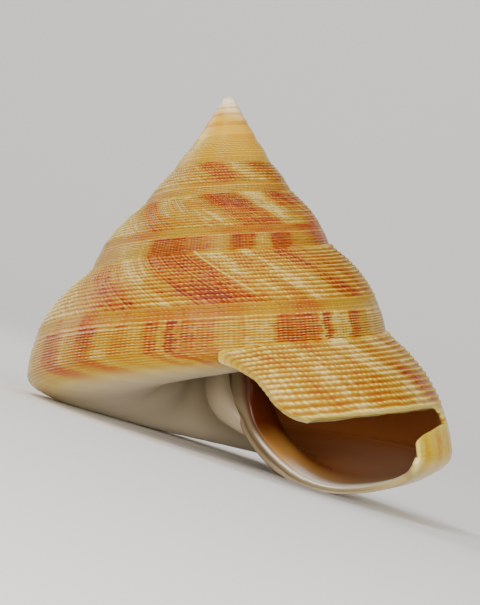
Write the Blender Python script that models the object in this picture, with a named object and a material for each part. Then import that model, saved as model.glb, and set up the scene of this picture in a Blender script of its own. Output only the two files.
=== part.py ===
"""A slit shell: a cone-shaped sea snail shell with a slit in its outer lip.

The shell is one coiled tube. Its cross-section is worked out at any number of turns of growth, and
is swept down the coil from the tip to the lip, then turned inwards at the lip and swept back up as
the hollow. The slit is a strip between two points of the section that is left open near the lip.
The walls of neighbouring turns overlap, and a union joins them with the early turns and the tip.
The shell leans so that it rests on its base and its lip. Lengths are in metres, with +Z up.
"""

import math

import bmesh
import bpy
from mathutils import Euler, Matrix, Vector

MM = 0.001

# The seam between turns: its radius and its depth below the tip at turn 0, which is the right-hand
# side level with the lip, and how the two grow with each turn (coefficients of t, t^2 and t^3).
SEAM_RADIUS = 35.87 * MM
SEAM_DEPTH = 50.86 * MM
RADIUS_GROWTH = (0.4103, -0.0445, -0.0110)
DEPTH_GROWTH = (0.4473, -0.0165, -0.0087)
EARLY_TURN = -3.0
EARLY_GROWTH = 0.40

# The left side of the last turn is a little flat, its keel rises towards the lip, and the seam
# above it drops just before the lip. The places are turns of growth.
FLAT_SIDE = 0.035
FLAT_SIDE_AT = 0.52
FLAT_SIDE_WIDTH = 0.12
KEEL_RISE = 2.9 * MM
KEEL_RISE_FROM = 0.944
KEEL_RISE_TO = 1.097
SEAM_DROP = 0.8 * MM
SEAM_DROP_FROM = 0.205
SEAM_DROP_TO = 0.247

# How far each turn's side swells beyond a straight line, as a share of the side's length.
SWELL = ((-9.0, 0.05), (-3.0, 0.05), (-2.5, 0.04), (-2.0, 0.072), (-1.5, 0.09), (-1.0, 0.112),
         (-0.5, 0.125), (0.0, 0.112))

# The underside from the keel to the axis, outside and inside: the share of the keel's radius, and
# the drop below the keel in units of the side's length.
BASE_OUTSIDE = ((1.0, 0.0), (0.991, 0.064), (0.959, 0.123), (0.909, 0.180), (0.845, 0.235),
                (0.735, 0.285), (0.590, 0.308), (0.473, 0.280), (0.378, 0.219), (0.295, 0.105),
                (0.225, -0.035), (0.175, -0.171), (0.142, -0.300), (0.080, -0.375),
                (0.013, -0.400))
BASE_INSIDE = ((0.972, -0.004), (0.963, 0.039), (0.935, 0.083), (0.890, 0.128), (0.822, 0.175),
               (0.714, 0.210), (0.590, 0.222), (0.495, 0.185), (0.412, 0.110), (0.342, 0.0),
               (0.285, -0.130), (0.245, -0.250), (0.225, -0.370), (0.222, -0.480),
               (0.228, -0.580))
PIN_HOLE = 0.25 * MM

# The underside bulges less before the last half turn: the share of its drop at each turn.
BASE_DEPTH = ((-0.4, 0.68), (-0.2, 0.76), (0.0, 0.96), (0.08, 1.03))

# The wall is thin at the lip and thickest behind it, on the far side of the last turn.
SIDE_WALL = 1.3 * MM
WALL_SHARE = ((-0.66, 1.0), (-0.5, 1.6), (-0.08, 1.6), (0.08, 0.85))
THICKER_UNTIL = 6.0
PLAIN_FROM = 9.0
GLAZE = 0.8 * MM

# Where the lip stands, in degrees of growth past turn 0, along the side, the underside and the
# ceiling of the opening. The numbers on the left run 0 to 1 down the side, and then follow the
# points of the underside.
SIDE_LIP = ((-0.07, 89.5), (0.0, 89.0), (0.175, 84.0), (0.35, 81.4), (0.458, 79.2),
            (0.573, 75.8), (0.665, 70.0), (0.79, 37.0), (1.0, 38.5))
BASE_LIP = ((0.0, 38.5), (1.0, 38.5), (2.0, 35.0), (3.0, 31.0), (4.0, 30.0), (6.0, 30.0),
            (7.0, 32.0), (8.0, 34.0), (9.0, 38.0), (10.0, 43.0), (11.0, 47.0), (12.0, 50.0),
            (14.0, 56.0))
CEILING_LIP = (57.0, 58.0, 59.0, 60.0, 62.0, 66.0, 71.0, 76.0, 81.0, 84.0, 87.0)

# Places along the section that carry a point, above and below the slit's edges. The side starts a
# little above the seam, inside the wall of the turn above. The inner ceiling runs from the top of
# the hollow's inner wall, so its first points lie close together.
UPPER_STATIONS = (-0.07, 0.10, 0.25, 0.40, 0.54)
INNER_UPPER_STATIONS = (0.07, 0.16, 0.28, 0.41, 0.54)
LOWER_STATIONS = (0.90, 1.0)
BASE_STATIONS = (1.0, 2.2, 3.6, 5.4, 7.2, 8.6, 10.0, 11.0, 12.0, 13.0, 14.0)
CEILING_STATIONS = (14.0, 13.0, 12.0, 11.0, 10.0, 8.6, 7.2, 5.4, 3.6, 2.2, 1.0)
INNER_CEILING_STATIONS = (9.9, 9.7, 9.5, 9.2, 8.8, 8.2, 7.2, 5.4, 3.6, 2.2, 1.2)

# The turns above are solid as far as the hollow's end, so the ceiling runs straight to the axis
# through them, and follows the wall of the turn above once that has a hollow.
SOLID_UNTIL = -0.75
WALL_FROM = -0.58
CEILING_DEPTH = 0.5
AXIS_START = 0.72

# The slit: its two edges as shares of the side's length, how far the lower one flares at the lip,
# and the turn where the slit ends. It lies between two of the side's stations.
SLIT_TOP = 0.665
SLIT_BOTTOM = 0.79
SLIT_FLARE = 0.07
SLIT_FLARE_FROM = 0.04
SLIT_FLARE_TO = 0.105
SLIT_END = 0.05

# Sections per turn in each stretch of the coil, outside and inside.
OUTSIDE_STRETCHES = ((-5.0, 15), (-3.04, 19), (-2.07, 26), (-1.03, 36), (SLIT_END, 60))
INSIDE_STRETCHES = ((-1.46, 30), (SLIT_END, 60))

# The tip above the first section: a ball on a cone, and a rod that fills the pin hole at the axis.
TIP_HEIGHT = 11.5 * MM
TIP_SLOPE = 0.635
TIP_BALL = 1.65 * MM
TIP_BALL_DEPTH = 2.1 * MM
TIP_CONE_END = 0.86 * TIP_BALL
TIP_SEGMENTS = 24
TIP_RINGS = 8
CORE_RADIUS = 0.8 * MM
CORE_TOP = 9.0 * MM
CORE_END = 42.0 * MM
CORE_SEGMENTS = 8

# The lean of the coil's axis in degrees as the shell rests, on the left of its base and on its lip,
# and how far it is worn flat where it touches the ground.
LEAN_SIDE = -15.9
LEAN_BACK = -1.5
WEAR = 0.4 * MM
GROUND_SIZE = 200.0 * MM


def smooth_step(value, start, end):
    """Rise from 0 at start to 1 at end, level at both."""
    share = min(max((value - start) / (end - start), 0.0), 1.0)
    return share * share * (3.0 - 2.0 * share)


def read_between(pairs, place):
    """Value at a place in a list of (place, value) pairs, along straight lines."""
    if place <= pairs[0][0]:
        return pairs[0][1]
    for (x0, y0), (x1, y1) in zip(pairs, pairs[1:]):
        if place <= x1:
            return y0 + (y1 - y0) * (place - x0) / (x1 - x0)
    return pairs[-1][1]


def on_curve(points, place):
    """Point on a smooth curve through a list of points, counted from 0."""
    index = min(int(place), len(points) - 2)
    share = place - index
    here, after = Vector(points[index]), Vector(points[index + 1])
    before = Vector(points[index - 1]) if index else 2.0 * here - after
    beyond = Vector(points[index + 2]) if index + 2 < len(points) else 2.0 * after - here
    return 0.5 * (
        2.0 * here
        + (after - before) * share
        + (2.0 * before - 5.0 * here + 4.0 * after - beyond) * share ** 2
        + (3.0 * here - before - 3.0 * after + beyond) * share ** 3
    )


def seam(turn):
    """Radius and depth of the seam between turns, as a 2D vector."""
    late = max(turn, EARLY_TURN)
    early = math.exp(EARLY_GROWTH * min(turn - EARLY_TURN, 0.0))
    radius = SEAM_RADIUS * early
    radius *= math.exp(sum(a * late ** (n + 1) for n, a in enumerate(RADIUS_GROWTH)))
    depth = SEAM_DEPTH * early
    depth *= math.exp(sum(a * late ** (n + 1) for n, a in enumerate(DEPTH_GROWTH)))
    radius *= 1.0 - FLAT_SIDE * math.exp(-((turn - FLAT_SIDE_AT) / FLAT_SIDE_WIDTH) ** 2)
    depth -= KEEL_RISE * smooth_step(turn, KEEL_RISE_FROM, KEEL_RISE_TO)
    return Vector((radius, depth))


def side_ends(turn):
    """Top and bottom of a turn's side: the seam above it, and its keel."""
    drop = SEAM_DROP * smooth_step(turn, SEAM_DROP_FROM, SEAM_DROP_TO)
    return seam(turn) + Vector((0.0, drop)), seam(turn + 1.0)


def side_point(turn, share, inset=0.0):
    """Point down a turn's swelling side, moved inwards by inset."""
    top, keel = side_ends(turn)
    along = keel - top
    outwards = Vector((along.y, -along.x)).normalized()
    swell = read_between(SWELL, turn) * along.length * 4.0 * share * (1.0 - share)
    return top + along * share + outwards * (swell - inset)


def base_point(turn, place, inside=0.0):
    """Point on the underside, from its outer surface (inside 0) to the hollow (inside 1)."""
    top, keel = side_ends(turn)
    share, drop = on_curve(BASE_OUTSIDE, place).lerp(on_curve(BASE_INSIDE, place), inside)
    if drop > 0.0:
        drop *= read_between(BASE_DEPTH, turn)
    return Vector((max(keel.x * share, PIN_HOLE), keel.y + drop * (keel - top).length))


def ceiling_point(turn, place):
    """Point on the tube's hidden upper side, inside the turn above."""
    in_wall = base_point(turn - 1.0, place, CEILING_DEPTH)
    top = seam(turn)
    axis = Vector((PIN_HOLE, top.y * AXIS_START))
    straight = axis.lerp(top, 1.0 - place / CEILING_STATIONS[0])
    return straight.lerp(in_wall, smooth_step(turn, SOLID_UNTIL, WALL_FROM))


def in_space(turn, point):
    """Turn a radius and depth into a place around the axis, with the tip at the origin."""
    angle = 2.0 * math.pi * turn
    return Vector((point.x * math.cos(angle), -point.x * math.sin(angle), -point.y))


def side_stations(turn, upper):
    """Places down the side that carry a point at this turn, with the slit's two edges."""
    flare = SLIT_FLARE * smooth_step(turn, SLIT_FLARE_FROM, SLIT_FLARE_TO)
    return list(upper) + [SLIT_TOP, SLIT_BOTTOM + flare] + list(LOWER_STATIONS)


def outside_section(turn):
    """Closed section of the tube's outer surface."""
    section = [side_point(turn, share) for share in side_stations(turn, UPPER_STATIONS)]
    section += [base_point(turn, place) for place in BASE_STATIONS]
    section += [ceiling_point(turn, place) for place in CEILING_STATIONS]
    return section


def inside_section(turn):
    """Closed section of the hollow, point for point with the outer one."""
    shares = side_stations(turn, INNER_UPPER_STATIONS)
    wall = read_between(WALL_SHARE, turn)
    section = [side_point(turn, share, SIDE_WALL * wall) for share in shares]
    for place in BASE_STATIONS:
        plain = smooth_step(place, THICKER_UNTIL, PLAIN_FROM)
        section.append(base_point(turn, place, wall + (1.0 - wall) * plain))
    section += [
        base_point(turn - 1.0, place) + Vector((0.0, GLAZE)) for place in INNER_CEILING_STATIONS
    ]
    return section


def lip_turns():
    """Turn at which each point of the section reaches the lip."""
    degrees = [read_between(SIDE_LIP, share) for share in side_stations(0.0, UPPER_STATIONS)]
    degrees += [read_between(BASE_LIP, place) for place in BASE_STATIONS]
    degrees += list(CEILING_LIP)
    return [angle / 360.0 for angle in degrees]


def turns_along(stretches, end):
    """Turns from the first stretch to the end, with each stretch's own spacing."""
    starts = [start for start, _ in stretches] + [end]
    turns = []
    for (start, per_turn), stop in zip(stretches, starts[1:]):
        steps = max(1, round((stop - start) * per_turn))
        turns += [start + (stop - start) * n / steps for n in range(steps)]
    return turns + [end]


def add_rings(bm, section, stretches):
    """Rings of vertices along the coil, which slant towards the lip's shape past the slit's end."""
    lips = lip_turns()
    middle = sum(lips) / len(lips)
    rings = []
    for turn in turns_along(stretches, middle):
        share = max(0.0, (turn - SLIT_END) / (middle - SLIT_END))
        places = [turn + (lip - middle) * share for lip in lips]
        rings.append([
            bm.verts.new(in_space(place, section(place)[index]))
            for index, place in enumerate(places)
        ])
    return rings


def join_rings(bm, rings, open_after=None):
    """Faces between successive rings, leaving out the strip after one point of the section."""
    for ring, after in zip(rings, rings[1:]):
        for index, vertex in enumerate(ring):
            if index - 1 != open_after:
                bm.faces.new((vertex, after[index], after[index - 1], ring[index - 1]))


def add_tube(bm):
    """The coiled tube: out from the tip to the lip, and back in as the hollow, open at the slit."""
    outside = add_rings(bm, outside_section, OUTSIDE_STRETCHES)
    inside = add_rings(bm, inside_section, INSIDE_STRETCHES)
    middle = sum(lip_turns()) / len(lip_turns())
    slit_rings = len(turns_along([OUTSIDE_STRETCHES[-1]], middle))
    upper = len(UPPER_STATIONS)
    lower = upper + 1
    slit_outside = outside[-slit_rings:]
    slit_inside = inside[-slit_rings:]
    join_rings(bm, outside[:1 - slit_rings])
    join_rings(bm, slit_outside + slit_inside[::-1], upper)
    join_rings(bm, inside[:1 - slit_rings][::-1])
    ends = [bm.faces.new(outside[0]), bm.faces.new(inside[0])]
    bmesh.ops.poke(bm, faces=ends)
    for edge in (upper, lower):
        outer = [ring[edge] for ring in slit_outside]
        inner = [ring[edge] for ring in slit_inside]
        for row in range(slit_rings - 1):
            bm.faces.new((outer[row], outer[row + 1], inner[row + 1], inner[row]))
    bm.faces.new((slit_outside[0][upper], slit_outside[0][lower],
                  slit_inside[0][lower], slit_inside[0][upper]))
    bmesh.ops.triangulate(bm, faces=bm.faces[:])
    bmesh.ops.recalc_face_normals(bm, faces=bm.faces[:])


def add_tip(bm):
    """The first tight turns as a cone with a round end, which reaches down into the tube."""
    start = TIP_CONE_END / TIP_SLOPE
    bmesh.ops.create_cone(
        bm, cap_ends=True, segments=TIP_SEGMENTS, radius1=TIP_HEIGHT * TIP_SLOPE,
        radius2=TIP_CONE_END, depth=TIP_HEIGHT - start,
        matrix=Matrix.Translation((0.0, 0.0, -(TIP_HEIGHT + start) / 2.0)),
    )
    bmesh.ops.create_cone(
        bm, cap_ends=True, segments=CORE_SEGMENTS, radius1=CORE_RADIUS, radius2=CORE_RADIUS,
        depth=CORE_END - CORE_TOP,
        matrix=Matrix.Translation((0.0, 0.0, -(CORE_END + CORE_TOP) / 2.0)),
    )
    bmesh.ops.create_uvsphere(
        bm, u_segments=TIP_SEGMENTS // 2, v_segments=TIP_RINGS, radius=TIP_BALL,
        matrix=Matrix.Translation((0.0, 0.0, -TIP_BALL_DEPTH)),
    )


def new_collection(name):
    collection = bpy.data.collections.new(name)
    bpy.context.scene.collection.children.link(collection)
    return collection


def new_object(name, build, collection):
    """An object whose mesh is drawn by the given function."""
    bm = bmesh.new()
    build(bm)
    mesh = bpy.data.meshes.new(name)
    bm.to_mesh(mesh)
    bm.free()
    obj = bpy.data.objects.new(name, mesh)
    collection.objects.link(obj)
    return obj


def new_guide(name, build, collection):
    """An object that only serves a Boolean."""
    guide = new_object(name, build, collection)
    guide.hide_render = True
    guide.display_type = "WIRE"
    return guide


def add_boolean(obj, operation, other, own_overlaps=False):
    boolean = obj.modifiers.new(f"{operation.title()} {other.name}", "BOOLEAN")
    boolean.operation = operation
    boolean.object = other
    boolean.solver = "EXACT"
    boolean.use_self = own_overlaps


def add_ground(bm):
    """A block whose top is the surface that the shell rests on."""
    middle = Matrix.Translation((0.0, 0.0, -GROUND_SIZE / 2.0))
    bmesh.ops.create_cube(bm, size=GROUND_SIZE, matrix=middle)


def shell_material():
    """Warm cream shell with a low gloss."""
    material = bpy.data.materials.new("Shell")
    material.use_nodes = True
    shader = material.node_tree.nodes["Principled BSDF"]
    shader.inputs["Base Color"].default_value = (0.76, 0.45, 0.17, 1.0)
    shader.inputs["Roughness"].default_value = 0.4
    shader.inputs["Metallic"].default_value = 0.0
    return material


def rest_on_ground(shell, guide):
    """Lean the shell, centre its footprint on the origin and sink it by the depth of its wear."""
    lean = Euler((math.radians(LEAN_BACK), math.radians(LEAN_SIDE), 0.0)).to_matrix().to_4x4()
    bpy.context.view_layer.update()
    mesh = shell.evaluated_get(bpy.context.evaluated_depsgraph_get()).to_mesh()
    places = [lean @ vertex.co for vertex in mesh.vertices]
    low = Vector([min(place[axis] for place in places) for axis in range(3)])
    high = Vector([max(place[axis] for place in places) for axis in range(3)])
    middle = (low + high) / 2.0
    middle.z = low.z + WEAR
    for obj in (shell, guide):
        obj.matrix_world = Matrix.Translation(-middle) @ lean


def main():
    for obj in list(bpy.data.objects):
        bpy.data.objects.remove(obj, do_unlink=True)
    parts = new_collection("Slit shell")
    guides = new_collection("Guides")
    shell = new_object("slit_shell", add_tube, parts)
    shell.data.materials.append(shell_material())
    tip = new_guide("tip_guide", add_tip, guides)
    add_boolean(shell, "UNION", tip, own_overlaps=True)
    rest_on_ground(shell, tip)
    ground = new_guide("ground_guide", add_ground, guides)
    add_boolean(shell, "DIFFERENCE", ground)


main()
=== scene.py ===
"""Looks of a slit shell: beaded cords, coloured bars, a pearly underside and a soft studio.

The shell is one closed sheet, like a sock turned in at its mouth. A flat grid is drawn first. Its
rows are the growth lines from the tip to the lip, over the lip's edge and back up the hollow, and
its columns run down the side, across the underside to the axis and back along the hidden ceiling.
Each vertex then moves to its place on the coil. Lengths are in metres, with +Z up.
"""

import math

import bmesh
import bpy
import numpy as np
from mathutils import Euler, Matrix, Vector


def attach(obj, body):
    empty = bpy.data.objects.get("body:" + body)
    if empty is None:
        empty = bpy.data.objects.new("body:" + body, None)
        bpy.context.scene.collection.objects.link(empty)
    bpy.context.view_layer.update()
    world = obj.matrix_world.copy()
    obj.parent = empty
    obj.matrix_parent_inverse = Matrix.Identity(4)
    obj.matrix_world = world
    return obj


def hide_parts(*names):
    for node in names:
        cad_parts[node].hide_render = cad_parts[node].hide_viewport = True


bl_info = {
    "name": "Slit shell",
    "version": (1, 0, 0),
    "blender": (4, 5, 0),
    "location": "View3D > Sidebar > Slit shell",
    "description": "Builds a slit shell with beaded cords, and a studio around it",
    "category": "Object",
}

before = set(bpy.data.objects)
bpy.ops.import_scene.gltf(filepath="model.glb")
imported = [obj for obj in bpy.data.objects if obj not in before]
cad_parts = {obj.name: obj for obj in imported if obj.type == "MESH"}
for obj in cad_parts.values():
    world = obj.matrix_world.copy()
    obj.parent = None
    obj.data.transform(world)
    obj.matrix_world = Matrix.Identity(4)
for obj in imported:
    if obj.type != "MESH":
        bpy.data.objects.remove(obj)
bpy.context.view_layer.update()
MM = 0.001

# The law of growth, the same as the CAD solid's. Turn 0 is the right-hand side level with the lip,
# and turns before it are negative. A place on the underside counts the points of BASE_OUTSIDE from
# the keel at 0 to the axis at 14.
SEAM_RADIUS = 35.87 * MM
SEAM_DEPTH = 50.86 * MM
RADIUS_GROWTH = (0.4103, -0.0445, -0.0110)
DEPTH_GROWTH = (0.4473, -0.0165, -0.0087)
EARLY_TURN = -3.0
EARLY_GROWTH = 0.40
FLAT_SIDE = 0.035
FLAT_SIDE_AT = 0.52
FLAT_SIDE_WIDTH = 0.12
KEEL_RISE = 2.9 * MM
KEEL_RISE_TURNS = (0.944, 1.097)
SEAM_DROP = 0.8 * MM
SEAM_DROP_TURNS = (0.205, 0.247)
SWELL = ((-9.0, 0.05), (-3.0, 0.05), (-2.5, 0.04), (-2.0, 0.072), (-1.5, 0.09), (-1.0, 0.112),
         (-0.5, 0.125), (0.0, 0.112))
BASE_OUTSIDE = ((1.0, 0.0), (0.991, 0.064), (0.959, 0.123), (0.909, 0.180), (0.845, 0.235),
                (0.735, 0.285), (0.590, 0.308), (0.473, 0.280), (0.378, 0.219), (0.295, 0.105),
                (0.225, -0.035), (0.175, -0.171), (0.142, -0.300), (0.080, -0.375),
                (0.013, -0.400))
BASE_INSIDE = ((0.972, -0.004), (0.963, 0.039), (0.935, 0.083), (0.890, 0.128), (0.822, 0.175),
               (0.714, 0.210), (0.590, 0.222), (0.495, 0.185), (0.412, 0.110), (0.342, 0.0),
               (0.285, -0.130), (0.245, -0.250), (0.225, -0.370), (0.222, -0.480),
               (0.228, -0.580))
BASE_DEPTH = ((-0.4, 0.68), (-0.2, 0.76), (0.0, 0.96), (0.08, 1.03))
PIN_HOLE = 0.25 * MM
SIDE_WALL = 1.3 * MM
WALL_SHARE = ((-0.66, 1.0), (-0.5, 1.6), (-0.08, 1.6), (0.08, 0.85))
PLAIN_WALL_PLACES = (6.0, 9.0)
GLAZE = 0.8 * MM
GLAZE_GROWS_BY = 0.05
HOLLOW_TURNS = (-0.75, -0.58)
CEILING_DEPTH = 0.5
AXIS_START = 0.72
LAST_PLACE = 14.0
CURVE_STEPS = 16

# Where the lip stands, in degrees past turn 0, down the side, under the base and along the ceiling.
SIDE_LIP = ((-0.07, 88.8), (0.0, 88.2), (0.06, 86.6), (0.173, 83.2), (0.296, 79.8),
            (0.419, 77.8), (0.516, 76.2), (0.573, 74.3), (0.615, 72.2), (0.644, 70.0),
            (0.660, 67.6), (0.665, 65.6), (0.79, 31.0), (0.803, 33.0), (0.814, 34.1),
            (0.836, 35.0), (0.86, 35.3), (1.0, 35.4))
BASE_LIP = ((0.0, 35.4), (1.0, 35.8), (2.0, 34.0), (3.0, 31.0), (4.0, 30.0), (6.0, 30.0),
            (7.0, 32.0), (8.0, 34.0), (9.0, 38.0), (10.0, 43.0), (11.0, 47.0), (12.0, 50.0),
            (14.0, 56.0))
CEILING_LIP = ((1.0, 87.0), (2.2, 84.0), (3.6, 81.0), (5.4, 76.0), (7.2, 71.0), (8.6, 66.0),
               (10.0, 62.0), (11.0, 60.0), (12.0, 59.0), (13.0, 58.0), (14.0, 57.0))
SLIT_TOP = 0.665
SLIT_BOTTOM = 0.79
SLIT_FLARE = 0.07
SLIT_FLARE_TURNS = (0.04, 0.105)
SLIT_WAVE = ((-0.10, 0.0), (0.0, 0.002), (0.047, 0.012), (0.08, 0.017), (0.12, 0.012),
             (0.15, 0.016), (0.175, 0.028), (0.19, 0.034), (0.20, 0.030))
SLIT_WAVE_FROM = 0.45
SLIT_RIPPLE = 0.0035
RIPPLES_PER_TURN = 31.0

# The hollow's own places against the outer ones: down the side, and along the ceiling.
INNER_SIDE = ((-0.07, 0.07), (0.10, 0.16), (0.25, 0.28), (0.40, 0.41), (0.54, 0.54), (1.0, 1.0))
INNER_CEILING = ((1.0, 1.2), (2.2, 2.2), (3.6, 3.6), (5.4, 5.4), (7.2, 7.2), (8.6, 8.2),
                 (10.0, 8.8), (11.0, 9.2), (12.0, 9.5), (13.0, 9.7), (14.0, 9.9))

# How the shell rests: the lean of its coil's axis, then a shift that centres its footprint.
LEAN = Euler((math.radians(-1.5), math.radians(-15.9), 0.0)).to_matrix()
TIP_AT = Vector((-23.164, 2.548, 75.973)) * MM

# Columns of the flat grid against places down the side, then along the underside. Two columns make
# one cord. From the axis to the last column they run back along the ceiling, as far as its end.
SIDE_COLUMNS = ((0, -0.07), (1, 0.0), (29, 0.653), (30, SLIT_TOP), (36, SLIT_BOTTOM), (37, 0.803),
                (55, 1.0))
BASE_COLUMNS = ((55, 0.0), (71, 4.0), (81, 7.0), (93, LAST_PLACE))
SLIT_COLUMNS = (30, 36)
KEEL_COLUMN = 55
AXIS_COLUMN = 93
LAST_COLUMN = 106
CEILING_END = 1.0

# Rows of the flat grid: turns of growth and rows per turn in each stretch, out to the lip and back.
# The lip's edge has a row for each angle. It is round, but takes the ridge's profile between the
# two ridge places under the base.
OUTWARD_ROWS = ((-8.2, 24), (-2.8, 57), (-1.8, 114))
LIP_TURN = 89.0 / 360.0
SLIT_ROWS = 13
HOLLOW_ROWS = 80
HOLLOW_END = -1.40
RIM_ANGLES = (0.0, 20.0, 38.0, 56.0, 74.0, 90.0)
RIM_PROFILE = ((0.0, 0.0), (20.0, 0.60), (38.0, 0.75), (56.0, 0.42), (74.0, 0.40), (90.0, 0.75),
               (106.0, 1.15), (124.0, 1.25), (146.0, 0.85), (164.0, 0.45), (180.0, 0.0))
RIDGE_START = (3.0, 5.5)
RIDGE_END = (12.0, 13.0)
FINE_CUTS = 3
FINE_FROM = -2.8
BASE_FROM = -1.5
BEADS_PER_ROW = 2

# How far growth lines run behind the seam as they go down the side and in to the axis, in turns.
GROWTH_LINE = ((-0.07, 0.009), (0.0, 0.0), (0.30, -0.036), (0.53, -0.066), (0.665, -0.084),
               (1.0, -0.084))
BASE_GROWTH_LINE = ((0.0, -0.084), (4.0, -0.13), (9.0, -0.20), (14.0, -0.20))
LINE_BLEND_FROM = 0.05
LOW_LINE_BLEND_FROM = 0.09

# The pillar at the axis: x, y, depth below the tip and radius in millimetres, on the upright coil.
PILLAR = ((0.4, 0.8, 55.0, 3.4), (0.5, -0.4, 60.0, 3.7), (0.7, -1.2, 65.0, 3.7),
          (2.0, -2.8, 68.4, 3.2), (4.2, -4.8, 71.0, 2.4), (6.4, -5.8, 73.4, 1.4),
          (8.4, -6.0, 75.4, 0.6))
PILLAR_SIDES = 28
PILLAR_FOLD = 0.07
FOLDS_ROUND_PILLAR = 3.0
PILLAR_TWIST = 5.0

# The very tip: how far it swells, and the ball that closes it.
TIP_SWELL = 0.5 * MM
TIP_SWELL_DEPTH = 6.0 * MM
NUCLEUS_RADIUS = 1.65 * MM
NUCLEUS_DEPTH = 2.1 * MM
NUCLEUS_SEGMENTS = (24, 14)

# Tones of the coloured bars, in hundredths, against turns of growth: 0 white, 20 cream, 40 straw,
# 60 ochre, 80 orange, 90 red and 100 red-brown. The upper ones stand above the slit's band and
# follow the growth lines, the lower ones stand below it, and the last ones are in it.
UPPER_BARS = (
    (-3.0, 52), (-2.9, 50), (-2.863, 75), (-2.83, 80), (-2.79, 50), (-2.77, 25), (-2.745, 30),
    (-2.73, 60), (-2.715, 72), (-2.69, 82), (-2.66, 72), (-2.645, 42), (-2.59, 40), (-2.54, 26),
    (-2.48, 20), (-2.4, 30), (-2.33, 62), (-2.25, 72), (-2.2, 40), (-2.12, 55), (-2.05, 75),
    (-1.98, 50), (-1.93, 60), (-1.868, 78), (-1.845, 74), (-1.828, 50), (-1.815, 22), (-1.785, 25),
    (-1.772, 74), (-1.75, 84), (-1.725, 80), (-1.71, 82), (-1.7, 60), (-1.689, 45), (-1.68, 15),
    (-1.672, 40), (-1.64, 45), (-1.61, 36), (-1.598, 60), (-1.57, 68), (-1.545, 34), (-1.5, 16),
    (-1.44, 20), (-1.39, 62), (-1.34, 78), (-1.31, 35), (-1.25, 25), (-1.2, 70), (-1.15, 60),
    (-1.11, 82), (-1.07, 40), (-1.0, 55), (-0.95, 58), (-0.925, 35), (-0.915, 60), (-0.905, 34),
    (-0.88, 60), (-0.866, 76), (-0.855, 52), (-0.845, 62), (-0.832, 84), (-0.82, 78), (-0.811, 50),
    (-0.792, 46), (-0.782, 34), (-0.776, 10), (-0.769, 30), (-0.76, 50), (-0.748, 56), (-0.739, 24),
    (-0.73, 26), (-0.7195, 52), (-0.708, 72), (-0.698, 86), (-0.686, 80), (-0.675, 90),
    (-0.662, 80), (-0.652, 84), (-0.645, 50), (-0.633, 36), (-0.626, 34), (-0.6215, 14),
    (-0.617, 30), (-0.603, 46), (-0.592, 66), (-0.575, 74), (-0.56, 55), (-0.547, 58), (-0.532, 36),
    (-0.5, 20), (-0.46, 18), (-0.43, 60), (-0.405, 74), (-0.385, 30), (-0.36, 50), (-0.33, 82),
    (-0.31, 34), (-0.27, 26), (-0.25, 66), (-0.21, 76), (-0.19, 30), (-0.16, 50), (-0.13, 80),
    (-0.1, 36), (-0.07, 30), (-0.04, 62), (-0.01, 50), (0.02, 40), (0.035, 36), (0.048, 68),
    (0.058, 40), (0.065, 60), (0.073, 64), (0.08, 42), (0.089, 22), (0.099, 36), (0.107, 58),
    (0.118, 60), (0.126, 48), (0.134, 14), (0.1415, 10), (0.149, 24), (0.158, 44), (0.175, 52),
    (0.19, 48), (0.1975, 22), (0.204, 42), (0.212, 50), (0.221, 44), (0.232, 34), (0.242, 26),
    (0.2472, 22),
)
LOWER_BARS = (
    (-3.0, 36), (-2.893, 44), (-2.85, 50), (-2.81, 36), (-2.75, 22), (-2.7, 32), (-2.64, 38),
    (-2.58, 44), (-2.5, 30), (-2.4, 60), (-2.3, 30), (-2.2, 70), (-2.1, 40), (-2.0, 60),
    (-1.946, 66), (-1.91, 70), (-1.885, 42), (-1.862, 46), (-1.85, 80), (-1.822, 80), (-1.812, 20),
    (-1.796, 16), (-1.788, 70), (-1.762, 72), (-1.752, 24), (-1.738, 20), (-1.728, 60), (-1.7, 60),
    (-1.69, 80), (-1.652, 82), (-1.64, 22), (-1.6, 20), (-1.585, 36), (-1.55, 34), (-1.5, 15),
    (-1.44, 30), (-1.4, 72), (-1.36, 70), (-1.33, 25), (-1.28, 60), (-1.25, 75), (-1.2, 30),
    (-1.15, 70), (-1.12, 25), (-1.06, 60), (-1.02, 30), (-0.95, 26), (-0.92, 22), (-0.914, 42),
    (-0.902, 46), (-0.896, 80), (-0.885, 80), (-0.881, 16), (-0.862, 16), (-0.8575, 85),
    (-0.851, 84), (-0.848, 12), (-0.845, 16), (-0.842, 68), (-0.799, 66), (-0.795, 16),
    (-0.771, 16), (-0.768, 46), (-0.764, 28), (-0.75, 34), (-0.744, 60), (-0.732, 60), (-0.729, 34),
    (-0.7265, 62), (-0.7165, 62), (-0.7145, 30), (-0.711, 80), (-0.704, 80), (-0.701, 26),
    (-0.696, 26), (-0.692, 60), (-0.685, 60), (-0.679, 26), (-0.665, 27), (-0.661, 42),
    (-0.654, 42), (-0.65, 20), (-0.638, 22), (-0.631, 68), (-0.621, 74), (-0.614, 52), (-0.606, 46),
    (-0.601, 26), (-0.597, 30), (-0.59, 68), (-0.578, 80), (-0.566, 66), (-0.557, 28), (-0.536, 18),
    (-0.5, 12), (-0.47, 14), (-0.45, 66), (-0.43, 66), (-0.42, 20), (-0.39, 24), (-0.38, 72),
    (-0.35, 76), (-0.34, 30), (-0.31, 30), (-0.3, 62), (-0.285, 60), (-0.27, 20), (-0.24, 20),
    (-0.23, 78), (-0.2, 78), (-0.19, 24), (-0.16, 30), (-0.15, 60), (-0.13, 60), (-0.12, 24),
    (-0.09, 24), (-0.08, 75), (-0.05, 70), (-0.04, 30), (-0.02, 30), (-0.01, 56), (0.01, 50),
    (0.02, 28), (0.035, 22), (0.042, 38), (0.05, 36), (0.056, 20), (0.062, 20), (0.067, 44),
    (0.072, 42), (0.078, 20), (0.084, 22), (0.088, 40), (0.093, 38), (0.098, 16), (0.105, 12),
)
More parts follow.
